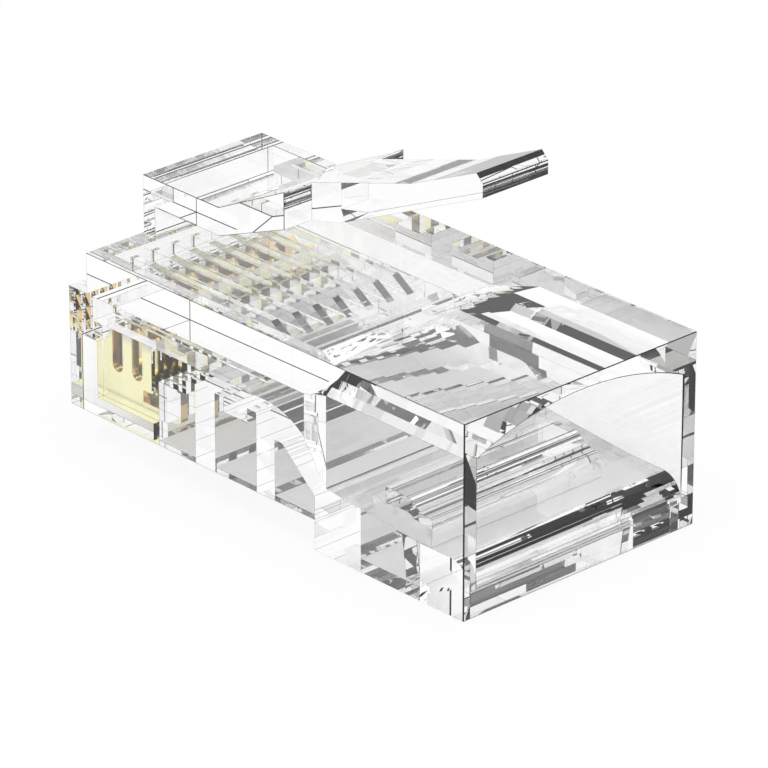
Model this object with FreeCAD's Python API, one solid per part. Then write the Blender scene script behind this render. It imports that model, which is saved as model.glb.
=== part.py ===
import FreeCAD, Part
import math
import os

# Eight-position modular plug, before it is crimped, in millimetres.
# X across the plug, -Y towards the nose, +Y towards the cable, +Z towards the latch.
# The origin is below the middle of the plug, on the underside of its rear block.

Vector = FreeCAD.Vector

# Housing, outside
width = 11.68
length = 21.6
rear_height = 7.8
nose_height = 6.58
nose_length = 13.7
lip_length = 1.05
lip_drop = 1.67

# Positions
positions = 8
pitch = 1.02

# Wire channel, under the top face, with low ribs on its floor that keep the wires apart
channel_width = 8.5
channel_front = 0.55
channel_end = 12.38
channel_roof_depth = 2.16
channel_floor_depth = 3.15
rib_width = 0.34
rib_height = 0.535
rib_end = 8.5
rib_slope_length = 0.85
ramp_radius = 3.36
ramp_angle = 39.6

# Cable cavity behind the channel
cavity_front = 14.05
cavity_side_wall = 0.64
cavity_roof_wall = 0.5
cavity_arch_rise = 1.06
cavity_floor_front = 2.5
cavity_floor_rear = 2.1
cavity_floor_level = 19.0
cavity_mouth_radius = 1.0

# Contact blades: a foot, a body with a rear notch, and three prongs
blade_thickness = 0.35
blade_front = 0.53
blade_foot_length = 3.5
blade_foot_height = 0.85
blade_heel_chamfer = 0.16
blade_notch_height = 0.48
blade_notch_depth = 0.5
blade_body_length = 3.1
blade_height = 3.4
blade_shoulder = 0.35
blade_shoulder_height = 1.5
prong_gap = 0.58
prong_width = 0.54
prong_depth = 1.8
prong_point = 0.8
blade_clearance = 0.03
crimp_travel = 0.5
slot_front_height = 2.4

# Step in the front and underside of the nose, which bares the edges of the blades
comb_width = 8.86
comb_depth = 0.86
comb_rise = 0.35
comb_height = 2.7

# Pockets in the underside of the nose
pocket_wall = 0.7
pocket_roof_depth = 3.55
pocket_hang = 0.6
pocket_slit = 0.5
pocket_1_front = 4.75
pocket_1_length = 2.05
pocket_2_front = 7.9
pocket_2_length = 2.3
pocket_3_front = 11.2
pocket_3_length = 2.18
pocket_3_roof = 2.27
pocket_3_flat = 0.41
pocket_3_rear = 0.75

# Cable clamp: a bar across a window in the cavity floor, on a leaning web
window_front = 15.38
window_length = 3.14
window_width = 8.3
clamp_side_gap = 0.1
clamp_rear_gap = 0.05
clamp_length = 2.5
clamp_thickness = 0.6
clamp_pivot_height = 2.15
clamp_front_flat = 1.05
clamp_slope = 0.45
web_thickness = 0.78
web_base_gap = 0.04

# Latch: a root wall, a wide block with locking shoulders, and a thumb arm
latch_width = 6.0
latch_front_gap = 0.03
root_thickness = 0.66
block_gap = 1.22
block_thickness = 1.16
block_length = 4.29
wedge_length = 3.63
wedge_top_rise = 1.74
wedge_bottom_rise = 1.4
arm_width = 3.25
arm_length = 9.06
arm_bend_under = 1.5
arm_bend_under_rise = 0.34
arm_under_rise = 3.36
arm_bend_top = 5.35
arm_bend_top_rise = 1.62
arm_top_rise = 1.46
arm_tip = 0.33
root_pivot_radius = 0.5
root_clearance = 0.015
root_seat_gap = 0.025

# Levels and stations that follow from the sizes above
nose = -length / 2
tail = length / 2
top = rear_height
nose_floor = rear_height - nose_height
lip_top = top - lip_drop
half_width = width / 2
channel_half = channel_width / 2
channel_roof = top - channel_roof_depth
channel_floor = top - channel_floor_depth
cavity_half = half_width - cavity_side_wall
cavity_crown = top - cavity_roof_wall
cavity_spring = cavity_crown - cavity_arch_rise
pocket_roof = top - pocket_roof_depth
pocket_half = half_width - pocket_wall
blade_heel = nose + blade_front + blade_foot_length + blade_clearance
row = [(i - (positions - 1) / 2) * pitch for i in range(positions)]


def side_face(points):
    """Face in the YZ plane from (y, z) points; a point written as a triple
    (y, z, (ym, zm)) is reached by an arc through (ym, zm)."""
    edges = []
    for start, end in zip(points, points[1:] + points[:1]):
        a = Vector(0, start[0], start[1])
        b = Vector(0, end[0], end[1])
        if len(end) == 3:
            edges.append(Part.Arc(a, Vector(0, *end[2]), b).toShape())
        else:
            edges.append(Part.makeLine(a, b))
    return Part.Face(Part.Wire(edges))


def across(points, half, middle=0.0):
    """The side profile drawn across the plug, from middle - half to middle + half."""
    return side_face(points).translated(Vector(middle - half, 0, 0)).extrude(Vector(2 * half, 0, 0))


def block(half, y0, y1, z0, z1, middle=0.0):
    return Part.makeBox(2 * half, y1 - y0, z1 - z0, Vector(middle - half, y0, z0))


def section(y, half, z0, z1, crown=None):
    """Closed wire across the plug: a flat floor and sides, and a flat or arched roof."""
    a, b, c, d = (Vector(-half, y, z0), Vector(half, y, z0), Vector(half, y, z1), Vector(-half, y, z1))
    if crown is None:
        roof = Part.makeLine(c, d)
    else:
        roof = Part.Arc(c, Vector(0, y, crown), d).toShape()
    return Part.Wire([Part.makeLine(a, b), Part.makeLine(b, c), roof, Part.makeLine(d, a)])


def wire_channel():
    """Flat slot with a rib on its floor between each two wires, and the ramp down its floor."""
    turn = math.radians(ramp_angle)
    ramp_foot = channel_floor - ramp_radius * (1 - math.cos(turn))
    ramp_start = nose + channel_end - ramp_radius * math.sin(turn)
    halfway = (ramp_start + ramp_radius * math.sin(turn / 2),
               channel_floor - ramp_radius * (1 - math.cos(turn / 2)))
    cut = across([(nose + channel_front, channel_roof), (nose + channel_front, channel_floor),
                  (ramp_start, channel_floor), (nose + channel_end, ramp_foot, halfway),
                  (nose + channel_end, channel_roof)], channel_half)
    rib_top = channel_floor + rib_height
    slope_end = nose + rib_end + rib_slope_length
    below = channel_floor - rib_height
    ribs = [across([(nose, below), (slope_end, below), (slope_end, channel_floor),
                    (nose + rib_end, rib_top), (nose, rib_top)], rib_width / 2, x + pitch / 2)
            for x in row[:-1]]
    return cut.cut(ribs), ramp_foot


def cable_cavity(ramp_foot):
    """Funnel from the channel, then the arched cavity with its sloping floor and rounded mouth."""
    y0, y1 = nose + channel_end, nose + cavity_front
    funnel = Part.makeLoft([section(y0, channel_half, ramp_foot, channel_roof),
                            section(y1, cavity_half, cavity_floor_front, cavity_spring, cavity_crown)],
                           True, True)
    arch = Part.Face(section(y1, cavity_half, 0, cavity_spring, cavity_crown))
    arch = arch.extrude(Vector(0, tail + 1 - y1, 0))
    r = cavity_mouth_radius
    bend = r * math.sqrt(0.5)
    room = across([(y1, cavity_floor_front), (nose + cavity_floor_level, cavity_floor_rear),
                   (tail - r, cavity_floor_rear),
                   (tail, cavity_floor_rear - r, (tail - r + bend, cavity_floor_rear - r + bend)),
                   (tail + 1, cavity_floor_rear - r), (tail + 1, top), (y1, top)], half_width)
    return funnel.fuse(arch.common(room))


def blade_profile():
    """Side profile of a contact: foot, notch, and three prongs parted by round-bottomed gaps."""
    y0, z0 = nose + blade_front, nose_floor
    body = y0 + blade_body_length
    crown = z0 + blade_height
    notch = z0 + blade_foot_height
    r = prong_gap / 2
    third = body - prong_width
    second = third - prong_gap - prong_width
    first = second - prong_gap
    bottom = crown - prong_depth + r
    heel = y0 + blade_foot_length
    return [(y0, z0), (heel - blade_heel_chamfer, z0), (heel, z0 + blade_heel_chamfer), (heel, notch),
            (body - blade_notch_depth, notch), (body - blade_notch_depth, notch + blade_notch_height),
            (body, notch + blade_notch_height), (body, crown - prong_point / 4),
            (body - prong_width / 2, crown), (third, crown - prong_point / 4),
            (third, bottom), (third - prong_gap, bottom, (third - r, bottom - r)),
            (third - prong_gap, crown - prong_point / 4), (second + prong_width / 2, crown),
            (second, crown - prong_point / 4),
            (second, bottom), (first, bottom, (second - r, bottom - r)),
            (first, crown), (y0 + blade_shoulder, crown - prong_point),
            (y0 + blade_shoulder, z0 + blade_shoulder_height),
            (y0, z0 + blade_shoulder_height - blade_shoulder)]


def blade_slot(x):
    """Slot for one blade: open below, open at the nose as far up as the mating wire reaches,
    and open above into the channel, with room for the blade's travel when it is crimped."""
    gap = blade_clearance
    body = nose + blade_front + blade_body_length + gap
    front = nose + blade_front + blade_shoulder - gap
    step = nose_floor + blade_foot_height + crimp_travel + gap
    sill = nose_floor + slot_front_height
    return across([(nose - 1, nose_floor - 1), (blade_heel, nose_floor - 1), (blade_heel, step), (body, step),
                   (body, channel_floor + rib_height / 2), (front, channel_floor + rib_height / 2),
                   (front, sill), (nose - 1, sill)], blade_thickness / 2 + gap, x)


def comb_step():
    """Shallow step between the two cheeks of the nose, out of which the blades stand, so that
    their lower edges are level with the cheeks."""
    half = comb_width / 2
    under = block(half, nose - 1, blade_heel, nose_floor - 1, nose_floor + comb_rise)
    return [under, block(half, nose - 1, nose + comb_depth, nose_floor - 1, nose_floor + comb_height)]


def nose_pockets():
    """Three pockets in the underside; the first two end upwards in narrow slits."""
    hang = pocket_roof - pocket_hang
    y1, e1 = nose + pocket_1_front, nose + pocket_1_front + pocket_1_length
    y2, e2 = nose + pocket_2_front, nose + pocket_2_front + pocket_2_length
    y3, e3 = nose + pocket_3_front, nose + pocket_3_front + pocket_3_length
    below = nose_floor - 1
    first = block(pocket_half, y1, e1, below, hang).fuse(
        block(pocket_half, e1 - pocket_slit, e1, hang, pocket_roof))
    second = block(pocket_half, y2, e2, below, hang).fuse(
        block(pocket_half, y2, y2 + pocket_slit, hang, pocket_roof)).fuse(
        block(pocket_half, e2 - pocket_slit, e2, hang, pocket_roof))
    third = across([(y3, below), (e3, below), (e3, nose_floor + pocket_3_rear),
                    (y3 + pocket_3_flat, nose_floor + pocket_3_roof),
                    (y3, nose_floor + pocket_3_roof)], pocket_half)
    return [first, second, third]


def latch_pivot():
    """Centre of the bending root, in the middle of the root wall."""
    reach = math.sqrt(root_pivot_radius ** 2 - (root_thickness / 2) ** 2)
    return (nose + lip_length + latch_front_gap + root_thickness / 2, top + root_seat_gap + reach)


def make_housing():
    outer = across([(nose, nose_floor), (nose + nose_length, nose_floor), (nose + nose_length, 0),
                    (tail, 0), (tail, top), (nose + lip_length, top), (nose + lip_length, lip_top),
                    (nose, lip_top)], half_width)
    channel, ramp_foot = wire_channel()
    window = block(window_width / 2, nose + window_front, nose + window_front + window_length, -1,
                   cavity_floor_front)
    y, z = latch_pivot()
    seat = Part.makeCylinder(root_pivot_radius + root_clearance, latch_width + 2 * root_clearance,
                             Vector(-latch_width / 2 - root_clearance, y, z), Vector(1, 0, 0))
    cuts = [channel, cable_cavity(ramp_foot), window, seat] + nose_pockets()
    cuts += [blade_slot(x) for x in row] + comb_step()
    return outer.cut(cuts)


def make_contact(x):
    return across(blade_profile(), blade_thickness / 2, x)


def level_bend(start, end):
    """Two equal arcs from one level station to another, level at both ends."""
    run, rise = (end[0] - start[0]) / 2, (end[1] - start[1]) / 2
    radius = (run ** 2 + rise ** 2) / (2 * abs(rise))
    turn = math.asin(abs(run) / radius) / 2
    along = math.copysign(radius * math.sin(turn), run)
    off = math.copysign(radius * (1 - math.cos(turn)), rise)
    return [(start[0] + run, start[1] + rise, (start[0] + along, start[1] + off)),
            (end[0], end[1], (end[0] - along, end[1] - off))]


def make_clamp():
    """Plate that bends down to a rounded rear end and turns in the window, on a leaning web that
    reaches down to the underside."""
    r = clamp_thickness / 2
    rear = nose + window_front + window_length - clamp_rear_gap
    front = rear - clamp_length
    y, z = rear - r, clamp_pivot_height
    high = z + r + clamp_slope
    half = window_width / 2 - clamp_side_gap
    flat = front + clamp_front_flat
    under = high - clamp_thickness
    bar = across([(front, under), (front, high), (flat, high)]
                 + level_bend((flat, high), (y, z + r)) + [(y, z - r, (rear, z))]
                 + level_bend((y, z - r), (flat, under)), half)
    web = across([(rear, web_base_gap), (rear - web_thickness, web_base_gap),
                  (y - web_thickness, z), (y, z)], half)
    return bar.fuse(web).removeSplitter()


def make_latch():
    y, z = latch_pivot()
    y0 = y - root_thickness / 2
    y1 = y + root_thickness / 2
    under = top + block_gap
    over = under + block_thickness
    corner = y0 + block_length
    shoulder = corner + wedge_length
    tip = shoulder + arm_length
    foot = top + root_seat_gap
    wide = across([(y0, foot), (y1, foot, (y, z - root_pivot_radius)), (y1, under), (corner, under),
                   (shoulder, under + wedge_bottom_rise), (shoulder, over + wedge_top_rise),
                   (corner, over), (y0, over)], latch_width / 2)
    low = under + wedge_bottom_rise
    high = over + wedge_top_rise
    arm = across([(shoulder, low), (shoulder + arm_bend_under, low + arm_bend_under_rise),
                  (tip, low + arm_bend_under_rise + arm_under_rise),
                  (tip, high + arm_bend_top_rise + arm_top_rise - arm_tip),
                  (tip - arm_tip, high + arm_bend_top_rise + arm_top_rise),
                  (shoulder + arm_bend_top, high + arm_bend_top_rise), (shoulder, high)], arm_width / 2)
    return wide.fuse(arm).removeSplitter()


os.makedirs("parts", exist_ok=True)
nodes = {"housing": make_housing(), "latch": make_latch(), "strain_relief_bar": make_clamp()}
for number, x in enumerate(row, 1):
    nodes["contact_%d" % number] = make_contact(x)
for name, shape in nodes.items():
    shape = shape.Solids[0] if len(shape.Solids) == 1 else shape
    shape.exportStep("parts/%s.step" % name)
    print(name, shape.ShapeType, len(shape.Solids), "valid", shape.isValid(), "volume %.2f" % shape.Volume)
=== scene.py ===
import math

import bmesh
import bpy
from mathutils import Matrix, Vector


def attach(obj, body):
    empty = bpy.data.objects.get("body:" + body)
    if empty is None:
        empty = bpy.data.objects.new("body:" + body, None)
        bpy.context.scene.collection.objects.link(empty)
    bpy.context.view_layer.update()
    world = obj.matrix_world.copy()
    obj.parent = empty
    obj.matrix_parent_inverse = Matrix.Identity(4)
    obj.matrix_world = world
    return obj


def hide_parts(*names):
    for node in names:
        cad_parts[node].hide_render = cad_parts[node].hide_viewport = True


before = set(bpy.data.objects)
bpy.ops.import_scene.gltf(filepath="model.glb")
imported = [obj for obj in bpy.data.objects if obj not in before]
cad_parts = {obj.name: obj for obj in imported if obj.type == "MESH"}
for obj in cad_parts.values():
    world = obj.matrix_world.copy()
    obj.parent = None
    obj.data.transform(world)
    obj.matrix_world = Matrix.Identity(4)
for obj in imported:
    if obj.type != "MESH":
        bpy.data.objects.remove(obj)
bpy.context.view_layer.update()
MM = 0.001

# Mouldings: points this close are one, faces that turn less are one, edges that turn more are sharp
WELD = 0.0001 * MM
FLAT_TURN = math.radians(0.5)
SHARP_TURN = math.radians(28)
# Widths of the broken edges. Shorter edges than SHORT_EDGE stay sharp.
MOUTH_BREAK = 0.05 * MM
OUTER_BREAK = 0.022 * MM
INNER_BREAK = 0.006 * MM
LONG_EDGE = 1.5 * MM
SHORT_EDGE = 0.09 * MM
# Most of the way to the next sharp edge that a break may take
ROOM_SHARE = 0.3

# Materials
RELIEF_HEIGHT = 0.01 * MM
GRAIN_IN_RELIEF = 0.15
PLASTIC_COLOUR = (0.997, 0.998, 0.998, 1)
PLASTIC_IOR = 1.585
# Near-black painted shade on the broken edges of the clear mouldings, drawing their fine dark edge
# lines
EDGE_SHADE_PAINT_COLOUR = (0.03, 0.03, 0.03, 1)
EDGE_IOR = 1.25
PLATING_DULL = (0.99, 0.955, 0.56, 1)
PLATING_BRIGHT = (1.0, 0.975, 0.62, 1)
PLATING_ON_CUT = (1.0, 0.73, 0.33, 1)
PLATING_CLOUDS = 900
BARE_METAL = (0.66, 0.65, 0.62, 1)
BARE_METAL_FROM = 4.1 * MM
BARE_METAL_FULL = 4.5 * MM
# Share of a face's normal that points across the blade, from cut edge to broad face
CUT_FACE = 0.3
BROAD_FACE = 0.8

# Surroundings: how bright they are to the camera, and as light on the plug and the floor
SEEN_LEVEL = 1.0
FILL_LEVEL = 0.5
# A grey card in them: azimuth, height and spread in degrees, softness of its rim, and its level
CARD_AZIMUTH = math.radians(280)
CARD_HEIGHT = math.radians(60)
CARD_SPREAD = 22
CARD_SOFTNESS = 0.25
CARD_LEVEL = 0.45
FLOOR_HALF_SIZE = 1.5
FLOOR_GAP = 0.05 * MM
FLOOR_COLOUR = (0.9, 0.9, 0.9, 1)
# Share of the floor that is plain white, seen through the plug or in it and seen straight
FLOOR_GLOW = 0.4
FLOOR_GLOW_STRAIGHT = 0.9
KEY_LEVEL = 1.9
KEY_AIM = (-0.15, -0.1, -1)
KEY_SPREAD = math.radians(60)

# Camera, fitted to the plug
SENSOR_WIDTH = 36
FOCAL_LENGTH = 288.63
CAMERA_PLACE = Vector((141.403, 152.406, 100.434)) * MM
CAMERA_TARGET = Vector((0.1218, 0.4836, 4.0591)) * MM
CAMERA_NEAR = 0.01
CAMERA_FAR = 10
BOUNCES = 11

collection = bpy.context.scene.collection


def maths(tree, operation):
    node = tree.nodes.new("ShaderNodeMath")
    node.operation = operation
    return node


def moulded_surface_group():
    """Faint flow waves and fine haze of a polished moulding, or the grain of a stamping."""
    group = bpy.data.node_groups.new("moulded_surface", "ShaderNodeTree")
    inputs = [("Vector", "NodeSocketVector", (0, 0, 0)), ("Wave Scale", "NodeSocketFloat", 300.0),
              ("Grain Scale", "NodeSocketFloat", 4000.0), ("Low Roughness", "NodeSocketFloat", 0.0),
              ("High Roughness", "NodeSocketFloat", 0.02)]
    for label, kind, value in inputs:
        socket = group.interface.new_socket(name=label, in_out="INPUT", socket_type=kind)
        socket.default_value = value
    for label in ("Roughness", "Height"):
        group.interface.new_socket(name=label, in_out="OUTPUT", socket_type="NodeSocketFloat")
    start = group.nodes.new("NodeGroupInput")
    end = group.nodes.new("NodeGroupOutput")
    wave = group.nodes.new("ShaderNodeTexNoise")
    wave.inputs["Detail"].default_value = 1.0
    grain = group.nodes.new("ShaderNodeTexNoise")
    grain.inputs["Detail"].default_value = 3.0
    spread = group.nodes.new("ShaderNodeMapRange")
    add = maths(group, "MULTIPLY_ADD")
    add.inputs[1].default_value = GRAIN_IN_RELIEF
    link = group.links.new
    link(start.outputs["Vector"], wave.inputs["Vector"])
    link(start.outputs["Vector"], grain.inputs["Vector"])
    link(start.outputs["Wave Scale"], wave.inputs["Scale"])
    link(start.outputs["Grain Scale"], grain.inputs["Scale"])
    link(grain.outputs["Fac"], spread.inputs["Value"])
    link(start.outputs["Low Roughness"], spread.inputs["To Min"])
    link(start.outputs["High Roughness"], spread.inputs["To Max"])
    link(grain.outputs["Fac"], add.inputs[0])
    link(wave.outputs["Fac"], add.inputs[2])
    link(spread.outputs["Result"], end.inputs["Roughness"])
    link(add.outputs["Value"], end.inputs["Height"])
    return group


surface = moulded_surface_group()


def material_base(name, waves, grain, roughness, relief):
    """Material with the surface group on it: scales of waves and grain, roughness from least to
    most, and how strongly the relief shows."""
    material = bpy.data.materials.new(name)
    material.use_nodes = True
    tree = material.node_tree
    shader = tree.nodes["Principled BSDF"]
    place = tree.nodes.new("ShaderNodeTexCoord")
    finish = tree.nodes.new("ShaderNodeGroup")
    finish.node_tree = surface
    finish.inputs["Wave Scale"].default_value = waves
    finish.inputs["Grain Scale"].default_value = grain
    finish.inputs["Low Roughness"].default_value = roughness[0]
    finish.inputs["High Roughness"].default_value = roughness[1]
    bump = tree.nodes.new("ShaderNodeBump")
    bump.inputs["Strength"].default_value = relief
    bump.inputs["Distance"].default_value = RELIEF_HEIGHT
    tree.links.new(place.outputs["Object"], finish.inputs["Vector"])
    tree.links.new(finish.outputs["Roughness"], shader.inputs["Roughness"])
    tree.links.new(finish.outputs["Height"], bump.inputs["Height"])
    tree.links.new(bump.outputs["Normal"], shader.inputs["Normal"])
    return material, tree, shader


def clear_polycarbonate():
    material, _, shader = material_base(
        "clear_polycarbonate", waves=180, grain=2500, roughness=(0.0, 0.004), relief=0.0015)
    shader.inputs["Base Color"].default_value = PLASTIC_COLOUR
    shader.inputs["Transmission Weight"].default_value = 1.0
    shader.inputs["IOR"].default_value = PLASTIC_IOR
    return material


def painted_edge_shade():
    """The narrow break along each moulded edge, painted near black: painted shade that draws the
    fine dark line which the clear plastic shows along its edges.
    """
    material, _, shader = material_base(
        "painted_edge_shade", waves=400, grain=6000, roughness=(0.3, 0.5), relief=0.05)
    shader.inputs["Base Color"].default_value = EDGE_SHADE_PAINT_COLOUR
    shader.inputs["IOR"].default_value = EDGE_IOR
    return material


def colour_mix(tree, first=None, second=None):
    mix = tree.nodes.new("ShaderNodeMix")
    mix.data_type = "RGBA"
    if first:
        mix.inputs["A"].default_value = first
    if second:
        mix.inputs["B"].default_value = second
    return mix


def gold_plate():
    """Pale gold on the broad faces of a stamping, warmer metal on its cut edges, and bare grey
    metal on the sides of the prong tips, which the plating doesn't reach."""
    material, tree, shader = material_base(
        "gold_plate", waves=900, grain=9000, roughness=(0.12, 0.26), relief=0.1)
    shader.inputs["Metallic"].default_value = 1.0
    place = tree.nodes["Texture Coordinate"]
    cloud = tree.nodes.new("ShaderNodeTexNoise")
    cloud.inputs["Scale"].default_value = PLATING_CLOUDS
    cloud.inputs["Detail"].default_value = 2
    tone = colour_mix(tree, PLATING_DULL, PLATING_BRIGHT)
    height = tree.nodes.new("ShaderNodeSeparateXYZ")
    tip = tree.nodes.new("ShaderNodeMapRange")
    tip.inputs["From Min"].default_value = BARE_METAL_FROM
    tip.inputs["From Max"].default_value = BARE_METAL_FULL
    plated = colour_mix(tree, second=BARE_METAL)
    facing = tree.nodes.new("ShaderNodeSeparateXYZ")
    across = maths(tree, "ABSOLUTE")
    broad = tree.nodes.new("ShaderNodeMapRange")
    broad.inputs["From Min"].default_value = CUT_FACE
    broad.inputs["From Max"].default_value = BROAD_FACE
    coat = colour_mix(tree, first=PLATING_ON_CUT)
    tree.links.new(place.outputs["Object"], cloud.inputs["Vector"])
    tree.links.new(cloud.outputs["Fac"], tone.inputs["Factor"])
    tree.links.new(place.outputs["Object"], height.inputs["Vector"])
    tree.links.new(height.outputs["Z"], tip.inputs["Value"])
    tree.links.new(tip.outputs["Result"], plated.inputs["Factor"])
    tree.links.new(tone.outputs["Result"], plated.inputs["A"])
    tree.links.new(place.outputs["Normal"], facing.inputs["Vector"])
    tree.links.new(facing.outputs["X"], across.inputs[0])
    tree.links.new(across.outputs["Value"], broad.inputs["Value"])
    tree.links.new(broad.outputs["Result"], coat.inputs["Factor"])
    tree.links.new(plated.outputs["Result"], coat.inputs["B"])
    tree.links.new(coat.outputs["Result"], shader.inputs["Base Color"])
    return material


clear = clear_polycarbonate()
gold = gold_plate()
# Near-black painted shade for the broken edges of the clear plastic
edge_shade_paint = painted_edge_shade()


def room_beside(edge, sharp):
    """Least distance from the middle of an edge to the other sharp edges of its two faces."""
    middle = (edge.verts[0].co + edge.verts[1].co) / 2
    least = math.inf
    for face in edge.link_faces:
        for other in face.edges:
            if other in sharp and not set(other.verts) & set(edge.verts):
                start, way = other.verts[0].co, other.verts[1].co - other.verts[0].co
                part = min(1, max(0, (middle - start).dot(way) / way.length_squared))
                least = min(least, (start + way * part - middle).length)
    return least


def outer_planes(form):
    """Rear plane of a moulding, and all of its outer planes but the underside. Each is an axis
    and where the plane lies on it."""
    spots = [v.co for v in form.verts]
    left, right, front, rear = [(axis, pick(spot[axis] for spot in spots))
                                for axis in (0, 1) for pick in (min, max)]
    top = (2, max(spot.z for spot in spots))
    return rear, [left, right, front, rear, top]


def edge_break(edge, rear, planes, has_mouth):
    """Width of the break: most around the rear mouth, except on the level edges of its outline,
    less on other long outer edges, least inside and underneath."""
    ends = [corner.co for corner in edge.verts]
    low, high = sorted(end.z for end in ends)
    on = [plane for plane in planes if all(abs(end[plane[0]] - plane[1]) < WELD for end in ends)]
    if not edge.is_convex or not on:
        return INNER_BREAK
    on_level_outline = high - low < WELD and (len(on) > 1 or low < WELD)
    if has_mouth and rear in on and not on_level_outline:
        return MOUTH_BREAK
    if edge.calc_length() > LONG_EDGE and high > WELD:
        return OUTER_BREAK
    return INNER_BREAK


def weigh_sharp_edges(form, has_mouth):
    """Bevel weight on every edge that turns a corner, and never so much that two breaks on one
    narrow face would meet."""
    weight = form.edges.layers.float.new("bevel_weight_edge")
    sharp = {e for e in form.edges if e.is_manifold and e.calc_face_angle() > SHARP_TURN}
    rear, planes = outer_planes(form)
    for edge in sharp:
        if edge.calc_length() > SHORT_EDGE:
            wanted = edge_break(edge, rear, planes, has_mouth)
            width = min(wanted, ROOM_SHARE * room_beside(edge, sharp))
            edge[weight] = width / MOUTH_BREAK


def moulded_mesh(source, name, material, has_mouth):
    """Mesh of a moulding with its flat faces whole again and its sharp edges just broken."""
    form = bmesh.new()
    form.from_mesh(source)
    bmesh.ops.remove_doubles(form, verts=form.verts, dist=WELD)
    bmesh.ops.dissolve_limit(form, angle_limit=FLAT_TURN, verts=form.verts, edges=form.edges)
    for face in form.faces:
        face.smooth = False
    weigh_sharp_edges(form, has_mouth)
    rough = bpy.data.meshes.new(name + "_rough")
    form.to_mesh(rough)
    form.free()
    rough.materials.append(material)
    rough.materials.append(edge_shade_paint)
    block = bpy.data.objects.new(name + "_rough", rough)
    collection.objects.link(block)
    bevel = block.modifiers.new("broken_edges", "BEVEL")
    bevel.limit_method = "WEIGHT"
    bevel.width = MOUTH_BREAK
    bevel.segments = 2
    bevel.profile = 0.5
    bevel.use_clamp_overlap = False
    # The bevel faces take the near-black painted edge shade
    bevel.material = 1
    graph = bpy.context.evaluated_depsgraph_get()
    graph.update()
    mesh = bpy.data.meshes.new_from_object(block.evaluated_get(graph))
    bpy.data.objects.remove(block)
    bpy.data.meshes.remove(rough)
    mesh.name = name
    mesh.shade_flat()
    return mesh


def dressed_copy(node, name, material, has_mouth=False):
    """Moulding that stands for a rigid solid in the render."""
    mesh = moulded_mesh(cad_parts[node].data, name, material, has_mouth)
    piece = bpy.data.objects.new(name, mesh)
    collection.objects.link(piece)
    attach(piece, node)
    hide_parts(node)


def dress_frame():
    for name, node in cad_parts.items():
        node.data.materials.clear()
        node.data.materials.append(gold if name.startswith("contact") else clear)


dress_frame()
dressed_copy("housing", "housing_moulding", clear, has_mouth=True)
dressed_copy("latch", "latch_moulding", clear)
dressed_copy("strain_relief_bar", "strain_relief_moulding", clear)


def seen_rays(tree, path):
    """1 for what the camera sees straight, in a reflection or through the clear plastic."""
    first = maths(tree, "MAXIMUM")
    either = maths(tree, "MAXIMUM")
    tree.links.new(path.outputs["Is Camera Ray"], first.inputs[0])
    tree.links.new(path.outputs["Is Glossy Ray"], first.inputs[1])
    tree.links.new(first.outputs["Value"], either.inputs[0])
    tree.links.new(path.outputs["Is Transmission Ray"], either.inputs[1])
    return either.outputs["Value"]


def grey_card(tree):
    """A soft grey card in the white surroundings, centred on one direction."""
    flat = math.cos(CARD_HEIGHT)
    way = (flat * math.cos(CARD_AZIMUTH), flat * math.sin(CARD_AZIMUTH), math.sin(CARD_HEIGHT))
    place = tree.nodes.new("ShaderNodeTexCoord")
    dot = tree.nodes.new("ShaderNodeVectorMath")
    dot.operation = "DOT_PRODUCT"
    dot.inputs[1].default_value = way
    rim = [math.cos(math.radians(CARD_SPREAD * (1 + side * CARD_SOFTNESS))) for side in (1, -1)]
    fall = tree.nodes.new("ShaderNodeMapRange")
    fall.interpolation_type = "SMOOTHSTEP"
    fall.inputs["From Min"].default_value = rim[0]
    fall.inputs["From Max"].default_value = rim[1]
    fall.inputs["To Min"].default_value = SEEN_LEVEL
    fall.inputs["To Max"].default_value = CARD_LEVEL
    tree.links.new(place.outputs["Generated"], dot.inputs[0])
    tree.links.new(dot.outputs["Value"], fall.inputs["Value"])
    return fall.outputs["Result"]


def surroundings():
    """White all around with one grey card, plain white where the camera looks past the plug."""
    world = bpy.data.worlds.new("bright_studio")
    bpy.context.scene.world = world
    world.use_nodes = True
    tree = world.node_tree
    path = tree.nodes.new("ShaderNodeLightPath")
    seen = tree.nodes.new("ShaderNodeMix")
    seen.inputs["A"].default_value = FILL_LEVEL
    straight = tree.nodes.new("ShaderNodeMix")
    straight.inputs["B"].default_value = SEEN_LEVEL
    back = tree.nodes["Background"]
    back.inputs["Color"].default_value = (1, 1, 1, 1)
    tree.links.new(seen_rays(tree, path), seen.inputs["Factor"])
    tree.links.new(grey_card(tree), seen.inputs["B"])
    tree.links.new(path.outputs["Is Camera Ray"], straight.inputs["Factor"])
    tree.links.new(seen.outputs["Result"], straight.inputs["A"])
    tree.links.new(straight.outputs["Result"], back.inputs["Strength"])


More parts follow.
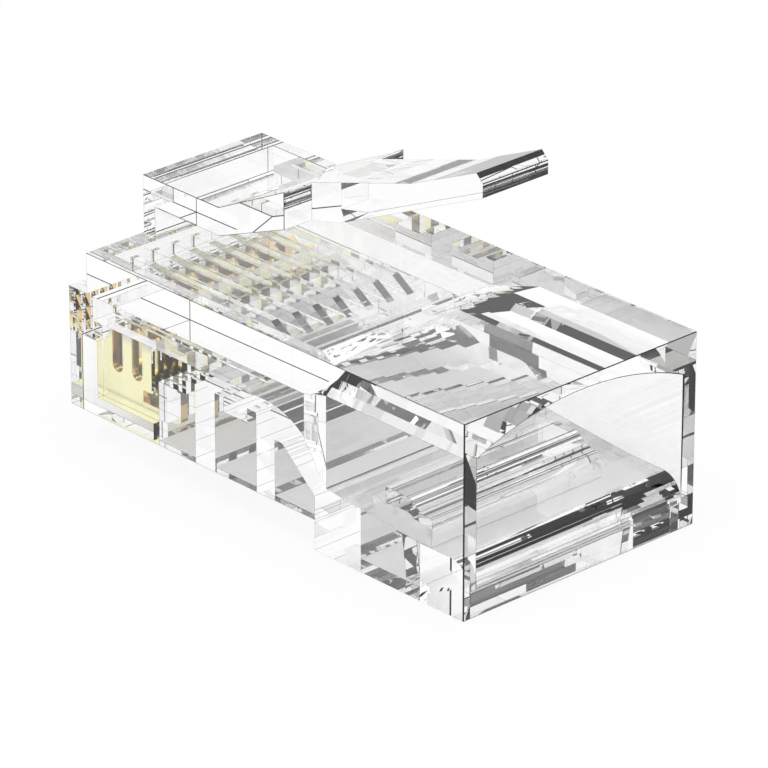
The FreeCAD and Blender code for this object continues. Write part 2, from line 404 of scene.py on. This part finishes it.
def floor_paint():
    """Pale paint that takes the shadow of the plug, faint seen straight and fuller through it."""
    paint = bpy.data.materials.new("white_floor")
    paint.use_nodes = True
    tree = paint.node_tree
    shader = tree.nodes["Principled BSDF"]
    shader.inputs["Base Color"].default_value = FLOOR_COLOUR
    shader.inputs["Roughness"].default_value = 1
    shader.inputs["Specular IOR Level"].default_value = 0
    glow = tree.nodes.new("ShaderNodeEmission")
    path = tree.nodes.new("ShaderNodeLightPath")
    through = maths(tree, "MULTIPLY")
    through.inputs[1].default_value = FLOOR_GLOW
    straight = maths(tree, "MULTIPLY_ADD")
    straight.inputs[1].default_value = FLOOR_GLOW_STRAIGHT - FLOOR_GLOW
    blend = tree.nodes.new("ShaderNodeMixShader")
    tree.links.new(seen_rays(tree, path), through.inputs[0])
    tree.links.new(path.outputs["Is Camera Ray"], straight.inputs[0])
    tree.links.new(through.outputs["Value"], straight.inputs[2])
    tree.links.new(straight.outputs["Value"], blend.inputs["Fac"])
    tree.links.new(shader.outputs["BSDF"], blend.inputs[1])
    tree.links.new(glow.outputs["Emission"], blend.inputs[2])
    tree.links.new(blend.outputs["Shader"], tree.nodes["Material Output"].inputs["Surface"])
    paint.cycles.emission_sampling = "NONE"
    return paint


def white_floor():
    form = bmesh.new()
    bmesh.ops.create_grid(form, x_segments=1, y_segments=1, size=FLOOR_HALF_SIZE)
    bmesh.ops.translate(form, verts=form.verts, vec=(0, 0, -FLOOR_GAP))
    mesh = bpy.data.meshes.new("floor")
    form.to_mesh(mesh)
    form.free()
    mesh.materials.append(floor_paint())
    floor = bpy.data.objects.new("floor", mesh)
    collection.objects.link(floor)


def key_lamp():
    """Broad soft key from above and a little from the camera's side, left out of reflections."""
    lamp = bpy.data.lights.new("key", "SUN")
    lamp.angle = KEY_SPREAD
    lamp.energy = KEY_LEVEL
    holder = bpy.data.objects.new("key", lamp)
    holder.rotation_euler = Vector(KEY_AIM).to_track_quat("-Z", "Y").to_euler()
    holder.visible_glossy = False
    collection.objects.link(holder)


def camera():
    lens = bpy.data.cameras.new("camera")
    lens.sensor_width = SENSOR_WIDTH
    lens.lens = FOCAL_LENGTH
    lens.clip_start = CAMERA_NEAR
    lens.clip_end = CAMERA_FAR
    view = bpy.data.objects.new("camera", lens)
    view.location = CAMERA_PLACE
    aim = CAMERA_TARGET - CAMERA_PLACE
    view.rotation_euler = aim.to_track_quat("-Z", "Y").to_euler()
    collection.objects.link(view)
    bpy.context.scene.camera = view


surroundings()
white_floor()
key_lamp()
camera()
bpy.context.scene.view_settings.view_transform = "Standard"
light_paths = bpy.context.scene.cycles
light_paths.max_bounces = BOUNCES
light_paths.glossy_bounces = BOUNCES
light_paths.transmission_bounces = BOUNCES
